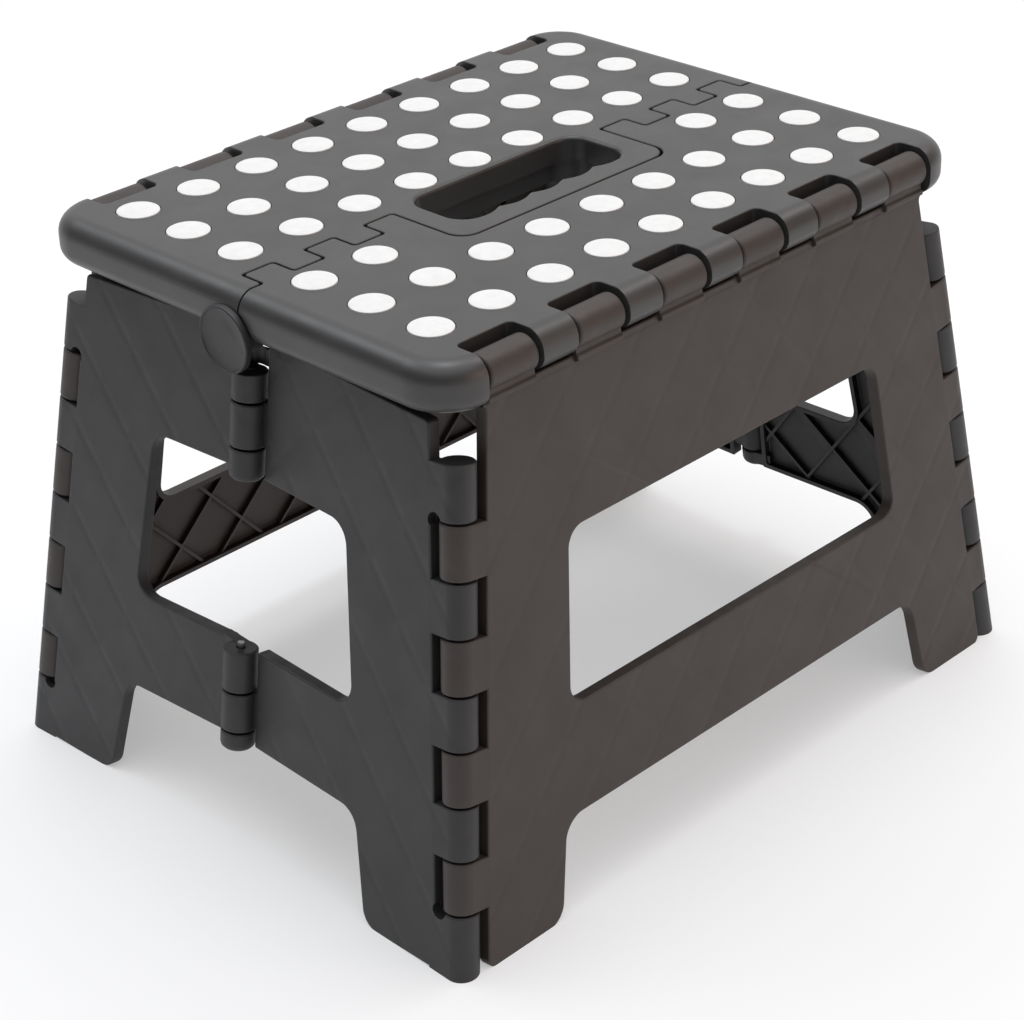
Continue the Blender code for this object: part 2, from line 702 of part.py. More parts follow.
def middle_pins(end, side, collection):
    frame = end_frame(end, side)
    for level, levels in zip(("upper", "lower"), MIDDLE_BANDS):
        line = middle_line(frame, levels[0] + 1.2 * PIN_STUB, levels[3] + PIN_STUB)
        rod = rods("pin", [line], MIDDLE_PIN, BORE_FACETS)
        finish(rod, "end_pin_" + END_NAMES[end] + "_" + level, "pin", collection, frame)


def main():
    clear_scene()
    collection = new_collection("step_stool")
    for side in (FRONT, BACK):
        deck_half(side, collection)
        side_panel(side, collection)
        grip_dots(side, collection)
        for end in (LEFT, RIGHT):
            end_panel(end, side, collection)
    pins(collection)


main()
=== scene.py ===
"""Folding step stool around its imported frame: mouldings, materials, floor, light and camera."""

import math

import bmesh
import bpy
from mathutils import Matrix, Vector


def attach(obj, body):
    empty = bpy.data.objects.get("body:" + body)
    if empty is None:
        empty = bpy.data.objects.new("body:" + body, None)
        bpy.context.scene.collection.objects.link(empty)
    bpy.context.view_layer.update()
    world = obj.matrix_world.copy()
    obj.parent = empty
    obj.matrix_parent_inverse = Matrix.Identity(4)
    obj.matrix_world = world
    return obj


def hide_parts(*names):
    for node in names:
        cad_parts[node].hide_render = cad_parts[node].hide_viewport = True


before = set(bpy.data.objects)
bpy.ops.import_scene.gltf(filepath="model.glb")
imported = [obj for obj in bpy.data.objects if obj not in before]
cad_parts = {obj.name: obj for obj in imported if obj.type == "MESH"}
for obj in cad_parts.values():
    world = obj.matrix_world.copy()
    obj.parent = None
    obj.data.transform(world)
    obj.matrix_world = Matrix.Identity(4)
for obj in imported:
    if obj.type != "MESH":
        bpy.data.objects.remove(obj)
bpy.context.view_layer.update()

# All sizes are in metres, in the frame of the CAD.

# Deck
HEIGHT = 0.220
DECK_X, DECK_Y, DECK_CORNER = 0.138, 0.106, 0.020
LIP_DEPTH, LIP_TOP_ROUND, LIP_LOW_ROUND, LIP_STEPS = 0.0181, 0.0078, 0.0060, 9
FOLD_Z = HEIGHT - 0.0184
SKIN, RIB = 0.003, 0.0022
POCKETS_FROM = {-1: -0.0110, 1: 0.0122}  # where the first row of pockets starts on each side
SEAM_GAP, SEAM_SOFT = 0.0008, 0.0007
FINGER_BACK, FINGER_FRONT, FINGER_WIDTH, FINGERS = 0.0045, -0.0065, 0.0142, 5
FINGER_ROUND = 0.0016
TONGUE_X, TONGUE_END, TONGUE_ROUND = 0.055, -0.0315, 0.008

# Hand slot
SLOT_X, SLOT_BACK, SLOT_FRONT, SLOT_ROUND, SLOT_SOFT = 0.044, 0.0095, -0.0188, 0.009, 0.0018
SLOT_WALL, SLOT_RELIEF = 0.0095, 0.0030  # its wall is this high, and below that it is cut back this far
SCALLOP_PITCH, SCALLOP_DEPTH, SCALLOP_POINTS = 0.0166, 0.0024, 96

# Grip dots
DOT_RADIUS, DOT_PITCH, DOT_COLUMNS = 0.008, 0.0283, 4
DOT_PROUD, DOT_GAP, DOT_FACETS = 0.0004, 0.0003, 56
ROW_BACK, ROW_FRONT = 0.020, -0.0185

# Hinges between deck and side panels
HINGE_Y, HINGE_Z, HINGE_BARREL = 0.099, HEIGHT - 0.008, 0.0067
HINGES, HINGE_PITCH, HINGE_WIDTH, HINGE_SIDE_GAP = 6, 0.042, 0.0225, 0.0015
HINGE_SOFT = 0.0013
NOTCH_WALL, NOTCH_ROUND, NOTCH_SOFT = HINGE_Y - HINGE_BARREL - 0.0018, 0.0028, 0.0006
LEDGE_LOW, LEDGE_DEPTH = 0.0108, 0.0082  # the foot of a lug, below the hinge axis and outwards
ROW_TOP = 0.0079  # the panel's top edge in the row of hinges, below the hinge axis
ROW_EXTRA = 0.0005  # how much thicker the deck's own barrels are, in radius, than the panel's
DECK_BORE_END, SIDE_BORE_END = 0.124, 0.3

# Panels
TILT, SPLAY, BOW = math.radians(6.0), math.radians(8.2), math.radians(2.2)
CORNER_X, CORNER_INSET = 0.1216, 0.0039
BARREL, PANEL_DEPTH = 0.0063, 0.005
PANEL_INNER = BARREL - PANEL_DEPTH
WEB_INNER, WEB_OUTER = PANEL_INNER + 0.0003, BARREL - 0.00002
PANEL_SKIN, PANEL_WALL = 0.0020, 0.0022
PANEL_SOFT_IN, PANEL_SOFT_OUT = 0.0004, 0.0007
SIDE_TOP, END_TOP = 0.0107, 0.198
BELOW_FLOOR = -0.0008  # the feet are drawn this low and then cut level
SIDE_LEVELS, END_LEVELS = (0.1445, 0.0795, 0.0375), (0.1467, 0.0802, 0.0415)
SIDE_WINDOW, SIDE_FEET = (0.0847, 0.0924), (0.100, 0.1072)
END_WINDOW, END_FEET = (0.0513, 0.0596), (0.0638, 0.0722)
LATTICE_PITCH, LATTICE_RIB, LATTICE_LEAN = 0.024, 0.0013, math.radians(48)
LATTICE_COUNT, LATTICE_REACH, LATTICE_SINK = 14, 0.3, 0.0009

# Corner hinges
SIDE_SETBACK, END_SETBACK = 0.0072, 0.0070
BAND_LOW, BAND, TOP_KNUCKLE, SIDE_KNUCKLES, KNUCKLE_GAP = 0.0236, 0.020, 0.0206, 4, 0.0008
WEB_SHORT, WEB_START, WEB_SOFT = 0.00005, 0.0002, 0.0006
KEYHOLE_X, KEYHOLE_FLOOR, KEYHOLE_RADIUS = 0.0048, 0.0030, 0.0031

# Middle hinges of the ends
MIDDLE_OFFSET, MIDDLE_BARREL, MIDDLE_SETBACK = 0.0078, 0.0065, 0.0077
MIDDLE_BANDS = ((0.1460, 0.1586, 0.1758, 0.1872), (0.0400, 0.048, 0.064, 0.0808))
MIDDLE_SOFT, MIDDLE_LOW_SOFT = 0.0007, 0.0024
MIDDLE_BORE, BORE_FLOOR = 0.0053, 0.0016
TAB_REACH, TAB_STEP = 0.0062, 0.005

# Fold pivot
BOSS_RADIUS, BOSS_OUT, BOSS_IN, BOSS_FACETS = 0.0125, 0.1405, 0.1300, 72
BOSS_DISC, HUB_INSET = 0.0030, 0.0045
EAR_RADIUS, EAR_IN = 0.007, 0.1215
EAR_LOW = FOLD_Z - EAR_RADIUS
EAR_WEB = (-0.0125, -0.0015)  # the Y at which the block on an ear starts and ends

BORE, BORE_FACETS = 0.0018, 16
ARC_FACET, FINE_FACET = 0.0009, 0.0005
ROUND_FACETS = 48
EDGE_STEPS = 3
FAR = 0.01  # how far a cutter reaches past what it cuts
HIDDEN_LOW = 0.5 * HEIGHT  # where cutters of the deck start, well below it

CAMERA_LOCATION, CAMERA_TARGET = (-0.647543, -0.644783, 0.584294), (-0.18381, -0.18053, HEIGHT)
CAMERA_LENS, CAMERA_ROLL = 92.64, -0.031

LEFT, RIGHT, FRONT, BACK = -1, 1, -1, 1
END_NAMES = {LEFT: "left", RIGHT: "right"}
SIDE_NAMES = {FRONT: "front", BACK: "back"}

# Turns a section that is drawn in (Y, Z) and pushed along Z, so that it is pushed along X
ALONG_X = Matrix(((0, 0, 1, 0), (1, 0, 0, 0), (0, 1, 0, 0), (0, 0, 0, 1)))


# ---------------------------------------------------------------- outlines

def rounded(corners, facet=ARC_FACET):
    """The outline through (x, y, radius) corners, with each corner turned into an arc."""
    outline = []
    count = len(corners)
    for i, (x, y, radius) in enumerate(corners):
        corner = Vector((x, y))
        if radius <= 0:
            outline.append(corner)
            continue
        before = (Vector(corners[i - 1][:2]) - corner).normalized()
        after = (Vector(corners[(i + 1) % count][:2]) - corner).normalized()
        half = before.angle(after) / 2
        centre = corner + (before + after).normalized() * radius / math.sin(half)
        start = corner + before * radius / math.tan(half) - centre
        sweep = start.angle_signed(corner + after * radius / math.tan(half) - centre)
        steps = max(3, round(abs(sweep) * radius / facet))
        for step in range(steps + 1):
            outline.append(centre + Matrix.Rotation(-sweep * step / steps, 2) @ start)
    return outline


def signed_area(points):
    return sum(a[0] * b[1] - b[0] * a[1] for a, b in zip(points, points[1:] + points[:1])) / 2


def grown(points, distance):
    """The closed outline moved outwards by this distance."""
    turn = 1 if signed_area(points) > 0 else -1
    moved = []
    for before, here, after in zip(points[-1:] + points[:-1], points, points[1:] + points[:1]):
        a = (Vector(here[:2]) - Vector(before[:2])).normalized()
        b = (Vector(after[:2]) - Vector(here[:2])).normalized()
        normals = [Vector((d.y, -d.x)) * turn for d in (a, b)]
        middle = (normals[0] + normals[1]) / max(0.3, 1 + normals[0].dot(normals[1]))
        moved.append(Vector(here[:2]) + middle * distance)
    return moved


def inset(corners, distance):
    """(x, y, radius) corners of the outline that lies this far inside, with the radii that fit."""
    turn = 1 if signed_area(corners) > 0 else -1
    points = grown(corners, -distance)
    count = len(corners)
    made = []
    for i, (point, (x, y, radius)) in enumerate(zip(points, corners)):
        a = Vector((x, y)) - Vector(corners[i - 1][:2])
        b = Vector(corners[(i + 1) % count][:2]) - Vector((x, y))
        convex = (a.x * b.y - a.y * b.x) * turn > 0
        made.append((point.x, point.y, max(radius - distance, 0.0012) if convex else radius + distance))
    return made


def circle(radius, facets=ROUND_FACETS):
    turns = [2 * math.pi * i / facets for i in range(facets)]
    return [Vector((radius * math.cos(t), radius * math.sin(t))) for t in turns]


# ---------------------------------------------------------------- solids

def new_object(name, mesh):
    made = bpy.data.objects.new(name, mesh)
    bpy.context.scene.collection.objects.link(made)
    return made


def from_bmesh(name, bm):
    bmesh.ops.recalc_face_normals(bm, faces=bm.faces)
    mesh = bpy.data.meshes.new(name)
    bm.to_mesh(mesh)
    bm.free()
    return new_object(name, mesh)


def loft(name, outline, levels):
    """A closed solid through the outline grown by each (distance, height)."""
    bm = bmesh.new()
    rings = []
    for distance, height in levels:
        ring = grown(outline, distance) if distance else outline
        rings.append([bm.verts.new((p[0], p[1], height)) for p in ring])
    for low, high in zip(rings, rings[1:]):
        for i in range(len(low)):
            j = (i + 1) % len(low)
            bm.faces.new((low[i], low[j], high[j], high[i]))
    bm.faces.new(rings[0])
    bm.faces.new(rings[-1])
    bm.normal_update()
    bmesh.ops.triangulate(bm, faces=[f for f in bm.faces if len(f.verts) > 4], ngon_method="EAR_CLIP")
    return from_bmesh(name, bm)


def quarter(radius, steps):
    """(inset, rise) pairs of a rounded edge, from the side wall up to the flat face."""
    turns = [math.pi / 2 * i / steps for i in range(steps + 1)]
    return [(-radius * (1 - math.cos(t)), radius * math.sin(t)) for t in turns]


def plate(name, outline, low, high, soft_low=0.0, soft_high=0.0, steps=EDGE_STEPS):
    """A flat plate whose two rims are rounded."""
    levels = []
    if soft_low:
        levels += [(d, low + soft_low - rise) for d, rise in reversed(quarter(soft_low, steps))]
    else:
        levels.append((0, low))
    if soft_high:
        levels += [(d, high - soft_high + rise) for d, rise in quarter(soft_high, steps)]
    else:
        levels.append((0, high))
    return loft(name, outline, levels)


def flared(name, outline, low, high, soft, steps=EDGE_STEPS):
    """A cutter that leaves a rounded edge where the upper face lies at this height."""
    turns = [math.pi / 2 * i / steps for i in range(steps + 1)]
    levels = [(0, low)] + [(soft * (1 - math.cos(t)), high - soft * (1 - math.sin(t))) for t in turns]
    return loft(name, outline, levels + [(soft, high + FAR)])


def boxes(name, spans):
    bm = bmesh.new()
    for low, high in spans:
        low, high = Vector(low), Vector(high)
        place = Matrix.Translation((low + high) / 2) @ Matrix.Diagonal((*(high - low), 1))
        bmesh.ops.create_cube(bm, size=1, matrix=place)
    return from_bmesh(name, bm)


def rod(name, start, end, radius, soft=0.0, facets=ROUND_FACETS):
    """A cylinder between two points, with rounded rims."""
    start, end = Vector(start), Vector(end)
    length = (end - start).length
    made = plate(name, circle(radius, facets), 0, length, soft, soft)
    turn = (end - start).to_track_quat("Z", "Y").to_matrix().to_4x4()
    made.data.transform(Matrix.Translation(start) @ turn)
    return made


def combine(target, operation, tools):
    """Applies a Boolean with each tool in turn and removes the tools."""
    for tool in tools:
        modifier = target.modifiers.new(tool.name, "BOOLEAN")
        modifier.operation = operation
        modifier.object = tool
        modifier.solver = "MANIFOLD"
    graph = bpy.context.evaluated_depsgraph_get()
    mesh = bpy.data.meshes.new_from_object(target.evaluated_get(graph))
    target.modifiers.clear()
    target.data = mesh
    for tool in tools:
        bpy.data.objects.remove(tool)
    return target


# ---------------------------------------------------------------- frames of the panels

def make_frame(origin, right, up):
    axes = Matrix((right, up, right.cross(up))).transposed().to_4x4()
    return Matrix.Translation(origin) @ axes


def side_frame(side):
    up = Vector((0, -side * math.sin(TILT), math.cos(TILT)))
    hinge = make_frame(Vector((0, side * HINGE_Y, HINGE_Z)), Vector((-side, 0, 0)), up)
    return hinge @ Matrix.Translation((0, 0, -CORNER_INSET))


def mirror_of(end, side):
    return -end * side


def end_frame(end, side):
    up = side_frame(side).col[1].xyz * math.cos(SPLAY) + Vector((-end * math.sin(SPLAY), 0, 0))
    inward = Vector((0, -side, 0))
    inward = (inward - inward.dot(up) * up).normalized()
    out = inward.cross(up) * mirror_of(end, side)
    inward = inward * math.cos(BOW) - out * math.sin(BOW)
    origin = side_frame(side) @ Vector((-side * end * CORNER_X, 0, 0))
    return make_frame(origin, inward * mirror_of(end, side), up)


def on_plane(place, depth, axis, value, height):
    """Local X and Y of the point at this depth, this height and this world X (axis 0) or Y (axis 1)."""
    origin = place @ Vector((0, 0, depth))
    right, up = place.col[0], place.col[1]
    sideways = value - origin[axis]
    rise = height - origin.z
    scale = right[axis] * up.z - up[axis] * right.z
    x, y = sideways * up.z - up[axis] * rise, right[axis] * rise - sideways * right.z
    return Vector((x / scale, y / scale))


def along_corner(height):
    return (height - side_frame(BACK).translation.z) / (math.cos(TILT) * math.cos(SPLAY))


def floor_cutter(place):
    block = boxes("floor", [((-1, -1, -1), (1, 1, 0))])
    block.data.transform(place.inverted())
    return block


def lattice(low, high):
    """Crossed diagonal ribs over a wide area of a panel's inside."""
    tools = []
    for lean in (-1, 1):
        spans = []
        for i in range(-LATTICE_COUNT, LATTICE_COUNT + 1):
            y = i * LATTICE_PITCH
            start = (-LATTICE_REACH, y - LATTICE_RIB / 2, low)
            spans.append((start, (LATTICE_REACH, y + LATTICE_RIB / 2, high)))
        rib = boxes("ribs", spans)
        rib.data.transform(Matrix.Rotation(lean * LATTICE_LEAN, 4, "Z"))
        tools.append(rib)
    return tools


def panel_body(name, corners, holes):
    """A thin skin with a wall round its edges and crossed ribs inside."""
    body = plate(name, rounded(corners), PANEL_INNER, BARREL, PANEL_SOFT_IN, PANEL_SOFT_OUT)
    floor, roof = PANEL_INNER - FAR, BARREL - PANEL_SKIN
    for hole in holes:
        combine(body, "DIFFERENCE", [flared("hole", rounded(hole), floor, BARREL, PANEL_SOFT_OUT)])
    hollow = plate("hollow", rounded(inset(corners, PANEL_WALL)), floor, roof, 0, WEB_SOFT)
    keep = [plate("keep", rounded(inset(hole, -PANEL_WALL)), floor - FAR, roof + FAR) for hole in holes]
    combine(hollow, "DIFFERENCE", keep + lattice(PANEL_INNER + LATTICE_SINK, roof + FAR))
    return combine(body, "DIFFERENCE", [hollow])


# ---------------------------------------------------------------- corner knuckles

def knuckle_bands(owner):
    """The (low, high) heights of the corner knuckles that belong to the side or the end panel."""
    if owner == "side":
        starts = [BAND_LOW + 2 * i * BAND for i in range(SIDE_KNUCKLES)]
        return [(z, z + BAND) for z in starts]
    bands = [(BAND_LOW + (2 * i - 1) * BAND, BAND_LOW + 2 * i * BAND) for i in range(1, SIDE_KNUCKLES)]
    top = BAND_LOW + (2 * SIDE_KNUCKLES - 1) * BAND
    return [(-BAND, BAND_LOW)] + bands + [(top, top + TOP_KNUCKLE)]


def corner_knuckles(owner, base, direction, inboard, reach):
    """Barrels on a corner axis, each with the web that carries it flush with the panel's outer face."""
    tools = []
    for low, high in knuckle_bands(owner):
        start = along_corner(low) + KNUCKLE_GAP / 2
        stop = along_corner(high) - KNUCKLE_GAP / 2
        ends = [base + direction * s for s in (start, stop)]
        tools.append(rod("barrel", (*ends[0], 0), (*ends[1], 0), BARREL, PANEL_SOFT_OUT))
        shorter = [base + direction * s for s in (start + WEB_SHORT, stop - WEB_SHORT)]
        web = [p + inboard * away for away in (-WEB_START, reach) for p in shorter]
        outline = [web[0], web[1], web[3], web[2]]
        tools.append(plate("web", outline, WEB_INNER, WEB_OUTER, PANEL_SOFT_IN, WEB_SOFT))
    return tools


def pin_span():
    """Where the bore of a corner pin starts and stops along its axis."""
    low, high = BAND_LOW - 0.3 * BAND, BAND_LOW + 7 * BAND + 0.8 * TOP_KNUCKLE
    return along_corner(low) - 0.001, along_corner(high) + 0.001


# ---------------------------------------------------------------- side panels

def hinge_centres():
    return [(i - (HINGES - 1) / 2) * HINGE_PITCH for i in range(HINGES)]


def hinge_row():
    """How far the row of hinge knuckles reaches to each side of the middle."""
    return max(hinge_centres()) + HINGE_WIDTH / 2 + KNUCKLE_GAP


def row_cutter(side):
    """Trims the deck's lip to a barrel round the hinge axis, all along the row of knuckles."""
    reach = HINGE_BARREL + ROW_EXTRA
    steps = [math.radians(a) for a in range(0, 91, 6)]
    arc = [(HINGE_Y + reach * math.sin(a), HINGE_Z - reach * math.cos(a)) for a in steps]
    inner, outer, under = HINGE_Y - 0.0035, HINGE_Y + 0.012, HINGE_Z - 0.014
    ends = [(outer, HINGE_Z), (outer, under), (inner, under), (inner, HINGE_Z - reach)]
    cutter = plate("row", [Vector((side * y, z)) for y, z in arc + ends], -hinge_row(), hinge_row())
    cutter.data.transform(ALONG_X)
    return cutter


def hinge_neck(x):
    """The lug that carries one hinge knuckle, with its small foot on the panel's outer face."""
    root, face = -2.4 * SIDE_TOP, BARREL - 0.0004
    section = [
        (root, WEB_INNER, 0), (-0.002, WEB_INNER, 0), (-0.002, CORNER_INSET, 0),
        (-0.005, CORNER_INSET + 0.0035, 0), (-0.0074, LEDGE_DEPTH - 0.0008, 0.0006),
        (-0.0082, LEDGE_DEPTH, 0.0005),
        (-LEDGE_LOW + 0.0010, LEDGE_DEPTH, 0.0007), (-LEDGE_LOW, face, 0.0004), (root, face, 0),
    ]
    half = HINGE_WIDTH / 2
    lug = plate("lug", rounded(section), -half, half, 0.0005, 0.0005, 2)
    lug.data.transform(Matrix.Translation((x, 0, 0)) @ ALONG_X)
    return lug


def side_panel(side):
    place = side_frame(side)

    def both(x, z, radius):
        halves = [on_plane(place, BARREL, 0, sign * x, z) for sign in (-1, 1)]
        return [(p.x, p.y, radius) for p in sorted(halves, key=lambda p: p.x)]

    edge, foot = CORNER_X - SIDE_SETBACK, math.tan(SPLAY)
    low, top = on_plane(place, BARREL, 0, 0, BELOW_FLOOR).y, -SIDE_TOP
    outer = [(edge - y * foot, y) for y in (low, top)]
    rail, toes = both(SIDE_FEET[0], SIDE_LEVELS[2], 0.010), both(SIDE_FEET[1], BELOW_FLOOR, 0.009)
    head, sill = both(SIDE_WINDOW[0], SIDE_LEVELS[0], 0.008), both(SIDE_WINDOW[1], SIDE_LEVELS[1], 0.007)
    row = hinge_row()
    corners = [
        (-outer[1][0], top, 0.002), (-row, top, 0.0008), (-row, -ROW_TOP, 0.0008), (row, -ROW_TOP, 0.0008),
        (row, top, 0.0008), (outer[1][0], top, 0.002), (outer[0][0], low, 0.004),
        toes[1], rail[1], rail[0], toes[0], (-outer[0][0], low, 0.004),
    ]
    panel = panel_body("side_moulding_" + SIDE_NAMES[side], corners, [[head[0], head[1], sill[1], sill[0]]])
    half = HINGE_WIDTH / 2
    tools = []
    for x in hinge_centres():
        ends = [(x + reach, 0, CORNER_INSET) for reach in (-half, half)]
        tools.append(rod("barrel", *ends, HINGE_BARREL, HINGE_SOFT))
        tools.append(hinge_neck(x))
    line = [(x, 0, CORNER_INSET) for x in (-SIDE_BORE_END, SIDE_BORE_END)]
    bores = [rod("bore", *line, BORE, 0, BORE_FACETS)]
    for end in (LEFT, RIGHT):
        base = Vector((end * CORNER_X, 0))
        direction = Vector((-end * math.sin(SPLAY), math.cos(SPLAY)))
        inboard = Vector((-end * math.cos(SPLAY), -math.sin(SPLAY)))
        tools += corner_knuckles("side", base, direction, inboard, 1.6 * SIDE_SETBACK)
        line = [(*(base + direction * s), 0) for s in pin_span()]
        bores.append(rod("bore", *line, BORE, 0, BORE_FACETS))
    combine(panel, "UNION", tools)
    combine(panel, "DIFFERENCE", bores + [floor_cutter(place)])
    settle(panel, place, "side_" + SIDE_NAMES[side], "side_panel_" + SIDE_NAMES[side], "side")


# ---------------------------------------------------------------- end panels

def holds_pins(end, side):
    """Whether this end panel has the outer two knuckles of each middle hinge, which carry the pin."""
    return mirror_of(end, side) > 0


def end_corners(place, mirror, side):
    head, sill, rail = END_LEVELS

    def point(y, z, radius):
        local = on_plane(place, BARREL, 1, side * y, z)
        return (local.x, local.y, radius)

    def middle(z, radius):
        local = on_plane(place, MIDDLE_OFFSET, 1, 0, z)
        return (local.x - mirror * MIDDLE_SETBACK, local.y, radius)

    def corner(z, radius):
        local = on_plane(place, BARREL, 1, side * HINGE_Y, z)
        return (mirror * END_SETBACK, local.y, radius)

    return [
        corner(END_TOP, 0.002), middle(END_TOP, 0.002), middle(head, 0.001),
        point(END_WINDOW[0], head, 0.009), point(END_WINDOW[1], sill, 0.008),
        middle(sill, 0.001), middle(rail, 0.001),
        point(END_FEET[0], rail, 0.009), point(END_FEET[1], BELOW_FLOOR, 0.008),
        corner(BELOW_FLOOR, 0.0014),
    ]


def middle_knuckles(place, mirror, chosen):
    """The chosen knuckles of both middle hinges, each a barrel with its web. The lowest has a round foot."""
    tools = []
    for levels in MIDDLE_BANDS:
        for i in chosen:
            low, high = levels[i] + KNUCKLE_GAP / 2, levels[i + 1] - KNUCKLE_GAP / 2
            ends = [on_plane(place, MIDDLE_OFFSET, 1, 0, z) for z in (low, high)]
            soft, rise = (MIDDLE_LOW_SOFT, 0.0012) if i == 0 else (MIDDLE_SOFT, WEB_SHORT)
            barrel = plate("barrel", circle(MIDDLE_BARREL), 0, (ends[1] - ends[0]).length, soft, MIDDLE_SOFT)
            turn = Vector((*(ends[1] - ends[0]), 0)).to_track_quat("Z", "Y").to_matrix().to_4x4()
            barrel.data.transform(Matrix.Translation((*ends[0], MIDDLE_OFFSET)) @ turn)
            tools.append(barrel)
            web = [ends[0] + Vector((0, rise)), ends[1] - Vector((0, WEB_SHORT))]
            near, away = Vector((-mirror * WEB_START, 0)), Vector((-mirror * 1.5 * MIDDLE_SETBACK, 0))
            outline = [web[0] + near, web[1] + near, web[1] + away, web[0] + away]
            tools.append(plate("web", outline, PANEL_INNER + 0.0006, WEB_OUTER, PANEL_SOFT_IN, WEB_SOFT))
    return tools


def middle_tab(place, mirror):
    """The thin tab that closes the gap between the two panels above the upper middle hinge."""
    heights = (MIDDLE_BANDS[0][3] + 0.0003, EAR_LOW - 0.0008)
    low, high = [on_plane(place, MIDDLE_OFFSET, 1, 0, z) for z in heights]
    far, near = mirror * TAB_REACH, -mirror * (MIDDLE_SETBACK + 0.0015)
    outline = [
        low + Vector((far, 0)), high + Vector((far, 0)), high + Vector((near, 0)),
        low + Vector((near, -TAB_STEP)), low + Vector((-far, -TAB_STEP)), low + Vector((-far, 0)),
    ]
    return plate("tab", outline, PANEL_INNER + 0.0002, PANEL_INNER + 0.0020, 0.0003, 0.0003)


def middle_line(place, low, high):
    return [(*on_plane(place, MIDDLE_OFFSET, 1, 0, z), MIDDLE_OFFSET) for z in (low, high)]


def end_panel(end, side):
    place, mirror = end_frame(end, side), mirror_of(end, side)
    name = END_NAMES[end] + "_" + SIDE_NAMES[side]
    panel = panel_body("end_moulding_" + name, end_corners(place, mirror, side), [])
    tools = corner_knuckles("end", Vector((0, 0)), Vector((0, 1)), Vector((mirror, 0)), 1.5 * END_SETBACK)
    chosen = (0, 2) if holds_pins(end, side) else (1,)
    if not holds_pins(end, side):
        tools.append(middle_tab(place, mirror))
    combine(panel, "UNION", tools + middle_knuckles(place, mirror, chosen))
    cutters = [rod("bore", *[(0, s, 0) for s in pin_span()], BORE, 0, BORE_FACETS), floor_cutter(place)]
    for levels in MIDDLE_BANDS:
        low, high, radius = levels[0] + BORE_FLOOR, levels[3] + BAND, BORE
        if not holds_pins(end, side):
            low, radius = levels[0], MIDDLE_BORE
        cutters.append(rod("bore", *middle_line(place, low, high), radius, 0, 24))
    low, high = knuckle_bands("end")[0][1], knuckle_bands("end")[-1][0]
    for height in (low, high):
        x, y = mirror * KEYHOLE_X, along_corner(height)
        cutters.append(rod("pocket", (x, y, KEYHOLE_FLOOR), (x, y, 2 * BARREL), KEYHOLE_RADIUS, 0, 32))
    combine(panel, "DIFFERENCE", cutters)
    settle(panel, place, "end_" + name, "end_panel_" + name, "end")


# ---------------------------------------------------------------- deck

def seam_path():
    """The seam between the deck halves from end to end: round the tongue, and in and out of the fingers."""
    right = [(TONGUE_X, TONGUE_END), (TONGUE_X, FINGER_BACK)]
    for finger in range(1, FINGERS + 1):
        x = TONGUE_X + finger * FINGER_WIDTH
        levels = (FINGER_BACK, FINGER_FRONT) if finger % 2 else (FINGER_FRONT, FINGER_BACK)
        right += [(x, level) for level in levels]
    right.append((2 * DECK_X, FINGER_FRONT))
    return [(-x, y) for x, y in reversed(right)] + right


def shifted_path(path, distance):
    moved = []
    for i, point in enumerate(path):
        ahead = Vector(path[min(i + 1, len(path) - 1)]) - Vector(path[min(i, len(path) - 2)])
        behind = Vector(path[max(i, 1)]) - Vector(path[max(i - 1, 0)])
        normals = [Vector((-d.y, d.x)).normalized() for d in (behind, ahead)]
        middle = normals[0] + normals[1]
        moved.append(Vector(point) + middle * distance / (1 + normals[0].dot(normals[1])))
    return moved


def deck_region(side):
    path = shifted_path(seam_path(), side * SEAM_GAP / 2)
    radii = [TONGUE_ROUND if abs(y - TONGUE_END) < SEAM_GAP else FINGER_ROUND for _, y in path]
    radii[0] = radii[-1] = 0
    far = side * 2 * DECK_Y
    corners = [(p.x, p.y, r) for p, r in zip(path, radii)] + [(path[-1].x, far, 0), (path[0].x, far, 0)]
    return rounded(corners, FINE_FACET)


def slot_outline():
    straight = SLOT_X - SLOT_ROUND
    outline = []
    for i in range(SCALLOP_POINTS + 1):
        x = -straight + 2 * straight * i / SCALLOP_POINTS
        scallop = SCALLOP_DEPTH * abs(math.cos(math.pi * x / SCALLOP_PITCH))
        outline.append(Vector((x, SLOT_FRONT - scallop)))
    low = outline[0].y
    ends = rounded([
        (SLOT_X, low, SLOT_ROUND), (SLOT_X, SLOT_BACK, SLOT_ROUND),
        (-SLOT_X, SLOT_BACK, SLOT_ROUND), (-SLOT_X, low, SLOT_ROUND),
    ])
    return outline + ends[1:-1]


def pocket_spans(side):
    top, low = HEIGHT - SKIN, FOLD_Z - BARREL
    first = side * ROW_BACK if side == BACK else ROW_FRONT
    rows = [(first + side * (i - 0.5) * DOT_PITCH, first + side * (i + 0.5) * DOT_PITCH) for i in range(3)]
    rows[0] = (POCKETS_FROM[side], rows[0][1])
    rows[2] = (rows[2][0], side * (NOTCH_WALL - SKIN))
    spans = []
    for row, (start, stop) in enumerate(rows):
        y = sorted((start + side * RIB / 2, stop - side * RIB / 2))
        for column in range(-DOT_COLUMNS, DOT_COLUMNS + 1):
            x = [(column - 0.5) * DOT_PITCH + RIB / 2, (column + 0.5) * DOT_PITCH - RIB / 2]
            if side == FRONT and row == 0:
                wall = TONGUE_X + 1.5 * SKIN
                near, far = sorted(x, key=abs)
                if abs(far) < wall + SKIN:
                    continue
                x = sorted((math.copysign(max(abs(near), wall), far), far))
            spans.append(((x[0], y[0], low), (x[1], y[1], top)))
    return spans


